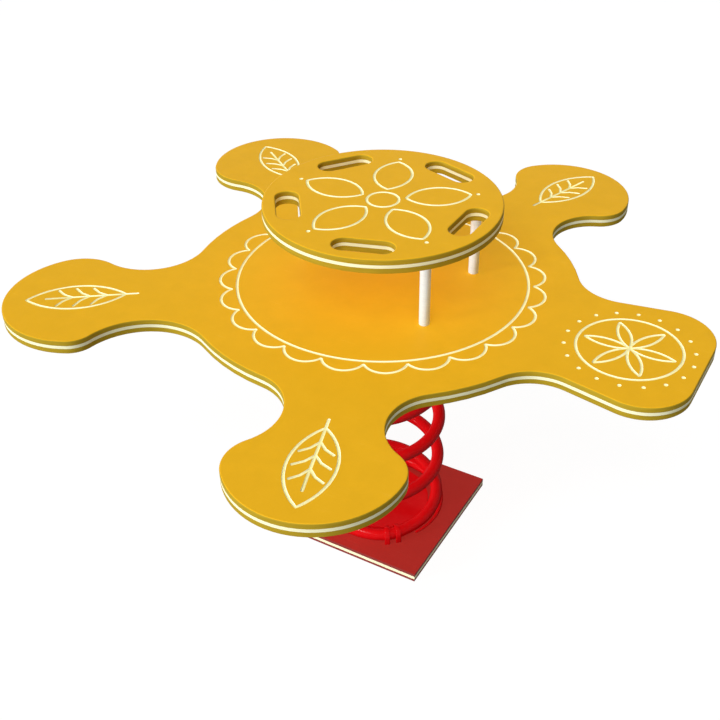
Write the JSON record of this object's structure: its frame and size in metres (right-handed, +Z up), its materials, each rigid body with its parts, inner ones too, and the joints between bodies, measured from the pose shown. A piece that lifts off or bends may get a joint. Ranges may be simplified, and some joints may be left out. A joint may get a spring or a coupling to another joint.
{
  "type": "spring rider",
  "caption": "Playground spring rider: a flat animal-shaped platform with limbs to sit on, carried by one coil spring on a square base, with a round hand table on posts",
  "frame": {"origin": "on the ground, at the centre of the base board's underside, on the spring's axis", "axes": "+X towards the platform's head, +Y to its left, +Z up"},
  "size_m": [0.9954, 1.0616, 0.618],
  "materials": {
    "yellow_board": "smooth yellow sheet with a faint grain",
    "pale_core": "pale cream core of the sheet",
    "red_board": "smooth red sheet",
    "red_steel": "glossy red powder coat",
    "bright_posts": "satin bright steel",
    "zinc_fixings": "zinc-plated steel",
    "brass_inserts": "plain brass"
  },
  "bodies": {
    "base": {"base_bottom_skin": "red_board", "base_core_layer": "pale_core", "base_top_skin": "red_board", "anchor_inserts": "brass_inserts", "lower_plate_bolts": "zinc_fixings", "lower_spring_plate": "red_steel", "lower_wire_clamps": "red_steel", "lower_clamp_bolts": "zinc_fixings", "lower_coil_staples": "red_steel"},
    "coil": {"spring": "red_steel"},
    "rider": {"upper_spring_plate": "red_steel", "upper_wire_clamps": "red_steel", "upper_clamp_bolts": "zinc_fixings", "upper_coil_staples": "red_steel", "upper_plate_bolts": "zinc_fixings", "upper_plate_inserts": "brass_inserts", "platform_bottom_skin": "yellow_board", "platform_core": "pale_core", "platform_top_skin": "yellow_board", "left_post": "bright_posts", "right_post": "bright_posts", "rear_post": "bright_posts", "post_washers": "zinc_fixings", "post_bolts": "zinc_fixings", "post_studs": "zinc_fixings", "table_inserts": "brass_inserts", "table_bottom_skin": "yellow_board", "table_core": "pale_core", "table_top_skin": "yellow_board"}
  },
  "joints": [
    {"name": "rock_fore_aft", "type": "hinge", "parent": "base", "child": "coil", "pos_m": [0, 0, 0.195], "axis": [0, 1, 0], "range_deg": [-18, 18], "stiffness_Nm_per_rad": 570, "deforming": ["spring"]},
    {"name": "rock_sideways", "type": "hinge", "parent": "coil", "child": "rider", "pos_m": [0, 0, 0.195], "axis": [1, 0, 0], "range_deg": [-18, 18], "stiffness_Nm_per_rad": 570, "deforming": ["spring"]}
  ]
}
